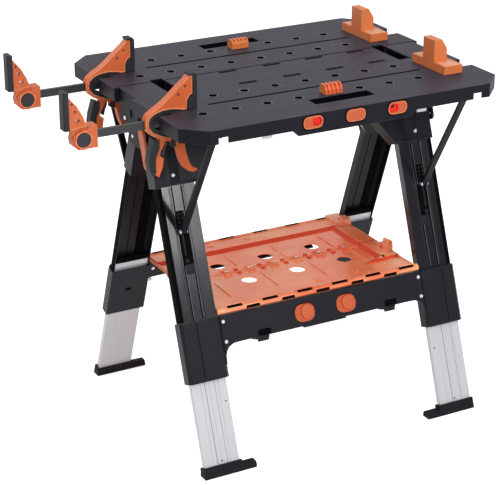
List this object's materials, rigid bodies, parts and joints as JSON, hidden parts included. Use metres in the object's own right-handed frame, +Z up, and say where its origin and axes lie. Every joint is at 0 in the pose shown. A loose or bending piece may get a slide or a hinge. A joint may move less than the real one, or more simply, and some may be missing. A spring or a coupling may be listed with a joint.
{
  "type": "folding workbench",
  "caption": "Folding workbench with drop-down wings on a centre beam, splayed legs with extending feet, a folding tray, bar clamps and bench dogs.",
  "frame": {"origin": "on the floor, below the middle of the overall length (clamps included) and of the depth", "axes": "+X along the bench away from the clamps, -Y towards the user at the front, +Z up"},
  "size_m": [0.99, 0.6264, 0.8826],
  "materials": {
    "top": "fine-grained moulded anthracite plastic",
    "frame": "moulded black plastic",
    "leg": "semi-gloss black powder coat",
    "strut": "black coat",
    "extension": "extruded, satin",
    "foot": "matte",
    "accent": "moulded orange plastic",
    "lever": "moulded orange plastic",
    "clamp": "moulded orange plastic",
    "tray": "moulded orange plastic",
    "grip": "soft touch",
    "trim": "moulded black plastic",
    "bar": "dark burnished bar",
    "steel": "bright"
  },
  "bodies": {
    "beam": {"centre_beam": "top", "leg_hinge_rod_front": "steel", "leg_hinge_rod_rear": "steel"},
    "release_lever_left": {"release_lever_left": "lever"},
    "release_lever_right": {"release_lever_right": "lever"},
    "wing_front": {"wing_front": "top", "edge_insert_front": "accent"},
    "latch_knob_front": {"latch_knob_front": "accent"},
    "strut_front_left": {"strut_front_left": "strut"},
    "strut_front_right": {"strut_front_right": "strut"},
    "clamp_front": {"clamp_frame_front": "clamp", "clamp_grip_front": "grip", "clamp_pad_front": "grip"},
    "clamp_release_front": {"clamp_release_front": "trim"},
    "clamp_trigger_front": {"clamp_trigger_front": "clamp"},
    "clamp_slide_front": {"clamp_bar_front": "bar", "clamp_jaw_front": "clamp", "clamp_jaw_pad_front": "grip"},
    "clamp_button_front": {"clamp_button_front": "trim"},
    "dog_front": {"dog_front": "accent"},
    "legs_front": {"crossbar_front": "frame", "leg_socket_front_left": "frame", "leg_socket_front_right": "frame", "leg_front_left": "leg", "leg_front_right": "leg"},
    "crossbar_cap_front_left": {"crossbar_cap_front_left": "accent"},
    "extension_front_left": {"leg_extension_front_left": "extension", "foot_front_left": "foot"},
    "crossbar_cap_front_right": {"crossbar_cap_front_right": "accent"},
    "extension_front_right": {"leg_extension_front_right": "extension", "foot_front_right": "foot"},
    "tray_front": {"tray_front": "tray", "tray_hinge_pin": "steel"},
    "wing_rear": {"wing_rear": "top", "edge_insert_rear": "accent"},
    "latch_knob_rear": {"latch_knob_rear": "accent"},
    "strut_rear_left": {"strut_rear_left": "strut"},
    "strut_rear_right": {"strut_rear_right": "strut"},
    "clamp_rear": {"clamp_frame_rear": "clamp", "clamp_grip_rear": "grip", "clamp_pad_rear": "grip"},
    "clamp_release_rear": {"clamp_release_rear": "trim"},
    "clamp_trigger_rear": {"clamp_trigger_rear": "clamp"},
    "clamp_slide_rear": {"clamp_bar_rear": "bar", "clamp_jaw_rear": "clamp", "clamp_jaw_pad_rear": "grip"},
    "clamp_button_rear": {"clamp_button_rear": "trim"},
    "dog_rear": {"dog_rear": "accent"},
    "legs_rear": {"crossbar_rear": "frame", "leg_socket_rear_left": "frame", "leg_socket_rear_right": "frame", "leg_rear_left": "leg", "leg_rear_right": "leg"},
    "crossbar_cap_rear_left": {"crossbar_cap_rear_left": "accent"},
    "extension_rear_left": {"leg_extension_rear_left": "extension", "foot_rear_left": "foot"},
    "crossbar_cap_rear_right": {"crossbar_cap_rear_right": "accent"},
    "extension_rear_right": {"leg_extension_rear_right": "extension", "foot_rear_right": "foot"},
    "tray_rear": {"tray_rear": "tray"}
  },
  "joints": [
    {"name": "legs_front_fold", "type": "hinge", "parent": "beam", "child": "legs_front", "pos_m": [0.103, -0.02, 0.699], "axis": [1, 0, 0], "range_deg": [0, 18]},
    {"name": "legs_rear_fold", "type": "hinge", "parent": "beam", "child": "legs_rear", "pos_m": [0.103, 0.02, 0.699], "axis": [1, 0, 0], "range_deg": [-18.02, 0]},
    {"name": "tray_front_fold", "type": "hinge", "parent": "legs_front", "child": "tray_front", "pos_m": [0.103, -0.17581, 0.3345], "axis": [1, 0, 0], "range_deg": [0, 63.1]},
    {"name": "tray_rear_fold", "type": "hinge", "parent": "tray_front", "child": "tray_rear", "pos_m": [0.103, 0, 0.32952], "axis": [1, 0, 0], "range_deg": [-150.6, 0]},
    {"name": "wing_front_fold", "type": "hinge", "parent": "beam", "child": "wing_front", "pos_m": [0.103, -0.0464, 0.774], "axis": [1, 0, 0], "range_deg": [0, 70]},
    {"name": "latch_knob_front_slide", "type": "slide", "parent": "wing_front", "child": "latch_knob_front", "axis": [1, 0, 0], "range_m": [-0.012, 0.012]},
    {"name": "strut_front_left_swing", "type": "hinge", "parent": "wing_front", "child": "strut_front_left", "pos_m": [-0.21, -0.272, 0.78], "axis": [1, 0, 0], "range_deg": [-119.96, 0]},
    {"name": "strut_front_right_swing", "type": "hinge", "parent": "wing_front", "child": "strut_front_right", "pos_m": [0.416, -0.272, 0.78], "axis": [1, 0, 0], "range_deg": [-119.96, 0]},
    {"name": "clamp_front_pull_off", "type": "slide", "parent": "wing_front", "child": "clamp_front", "axis": [1, 0, 0], "range_m": [-0.161, 0]},
    {"name": "clamp_front_bar_slide", "type": "slide", "parent": "clamp_front", "child": "clamp_slide_front", "axis": [1, 0, 0], "range_m": [-0.05, 0.1]},
    {"name": "clamp_front_trigger_squeeze", "type": "hinge", "parent": "clamp_front", "child": "clamp_trigger_front", "pos_m": [-0.254, -0.1524, 0.74], "axis": [0, 1, 0], "range_deg": [0, 12], "stiffness_Nm_per_rad": 1.5},
    {"name": "clamp_front_release_squeeze", "type": "hinge", "parent": "clamp_front", "child": "clamp_release_front", "pos_m": [-0.265, -0.1524, 0.738], "axis": [0, 1, 0], "range_deg": [0, 5], "stiffness_Nm_per_rad": 1},
    {"name": "clamp_front_button_press", "type": "slide", "parent": "clamp_slide_front", "child": "clamp_button_front", "axis": [0, 1, 0], "range_m": [0, 0.003], "stiffness_N_per_m": 600},
    {"name": "dog_front_lift", "type": "slide", "parent": "wing_front", "child": "dog_front", "axis": [0, 0, 1], "range_m": [0, 0.03]},
    {"name": "extension_front_left_slide", "type": "slide", "parent": "legs_front", "child": "extension_front_left", "axis": [0, 0.342, 0.9397], "range_m": [0, 0.165]},
    {"name": "crossbar_cap_front_left_press", "type": "slide", "parent": "legs_front", "child": "crossbar_cap_front_left", "axis": [0, 0.9397, -0.342], "range_m": [0, 0.003], "stiffness_N_per_m": 800},
    {"name": "extension_front_right_slide", "type": "slide", "parent": "legs_front", "child": "extension_front_right", "axis": [0, 0.342, 0.9397], "range_m": [0, 0.165]},
    {"name": "crossbar_cap_front_right_press", "type": "slide", "parent": "legs_front", "child": "crossbar_cap_front_right", "axis": [0, 0.9397, -0.342], "range_m": [0, 0.003], "stiffness_N_per_m": 800},
    {"name": "wing_rear_fold", "type": "hinge", "parent": "beam", "child": "wing_rear", "pos_m": [0.103, 0.0464, 0.774], "axis": [-1, 0, 0], "range_deg": [0, 70]},
    {"name": "latch_knob_rear_slide", "type": "slide", "parent": "wing_rear", "child": "latch_knob_rear", "axis": [1, 0, 0], "range_m": [-0.012, 0.012]},
    {"name": "strut_rear_left_swing", "type": "hinge", "parent": "wing_rear", "child": "strut_rear_left", "pos_m": [-0.21, 0.272, 0.78], "axis": [-1, 0, 0], "range_deg": [-119.96, 0]},
    {"name": "strut_rear_right_swing", "type": "hinge", "parent": "wing_rear", "child": "strut_rear_right", "pos_m": [0.416, 0.272, 0.78], "axis": [-1, 0, 0], "range_deg": [-119.96, 0]},
    {"name": "clamp_rear_pull_off", "type": "slide", "parent": "wing_rear", "child": "clamp_rear", "axis": [1, 0, 0], "range_m": [-0.301, 0]},
    {"name": "clamp_rear_bar_slide", "type": "slide", "parent": "clamp_rear", "child": "clamp_slide_rear", "axis": [1, 0, 0], "range_m": [-0.05, 0.1]},
    {"name": "clamp_rear_trigger_squeeze", "type": "hinge", "parent": "clamp_rear", "child": "clamp_trigger_rear", "pos_m": [-0.254, 0.1524, 0.74], "axis": [0, 1, 0], "range_deg": [0, 12], "stiffness_Nm_per_rad": 1.5},
    {"name": "clamp_rear_release_squeeze", "type": "hinge", "parent": "clamp_rear", "child": "clamp_release_rear", "pos_m": [-0.265, 0.1524, 0.738], "axis": [0, 1, 0], "range_deg": [0, 5], "stiffness_Nm_per_rad": 1},
    {"name": "clamp_rear_button_press", "type": "slide", "parent": "clamp_slide_rear", "child": "clamp_button_rear", "axis": [0, 1, 0], "range_m": [0, 0.003], "stiffness_N_per_m": 600},
    {"name": "dog_rear_lift", "type": "slide", "parent": "wing_rear", "child": "dog_rear", "axis": [0, 0, 1], "range_m": [0, 0.03]},
    {"name": "extension_rear_left_slide", "type": "slide", "parent": "legs_rear", "child": "extension_rear_left", "axis": [0, -0.342, 0.9397], "range_m": [0, 0.165]},
    {"name": "crossbar_cap_rear_left_press", "type": "slide", "parent": "legs_rear", "child": "crossbar_cap_rear_left", "axis": [0, -0.9397, -0.342], "range_m": [0, 0.003], "stiffness_N_per_m": 800},
    {"name": "extension_rear_right_slide", "type": "slide", "parent": "legs_rear", "child": "extension_rear_right", "axis": [0, -0.342, 0.9397], "range_m": [0, 0.165]},
    {"name": "crossbar_cap_rear_right_press", "type": "slide", "parent": "legs_rear", "child": "crossbar_cap_rear_right", "axis": [0, -0.9397, -0.342], "range_m": [0, 0.003], "stiffness_N_per_m": 800},
    {"name": "release_lever_left_swing", "type": "hinge", "parent": "beam", "child": "release_lever_left", "pos_m": [-0.261, -0.033, 0.722], "axis": [1, 0, 0], "range_deg": [0, 18], "stiffness_Nm_per_rad": 1.2},
    {"name": "release_lever_right_swing", "type": "hinge", "parent": "beam", "child": "release_lever_right", "pos_m": [0.467, -0.033, 0.722], "axis": [1, 0, 0], "range_deg": [0, 18], "stiffness_Nm_per_rad": 1.2}
  ],
  "couplings": [
    {"joint": "legs_rear_fold", "follows": "legs_front_fold", "ratio": -1},
    {"joint": "tray_front_fold", "follows": "legs_front_fold", "ratio": 3.5},
    {"joint": "tray_rear_fold", "follows": "legs_front_fold", "ratio": -8.3611},
    {"joint": "strut_front_left_swing", "follows": "wing_front_fold", "ratio": -1.7123},
    {"joint": "strut_front_right_swing", "follows": "wing_front_fold", "ratio": -1.7123},
    {"joint": "clamp_front_pull_off", "follows": "wing_front_fold", "m_per_rad": -0.13096},
    {"joint": "strut_rear_left_swing", "follows": "wing_rear_fold", "ratio": -1.7123},
    {"joint": "strut_rear_right_swing", "follows": "wing_rear_fold", "ratio": -1.7123},
    {"joint": "clamp_rear_pull_off", "follows": "wing_rear_fold", "m_per_rad": -0.24555}
  ]
}
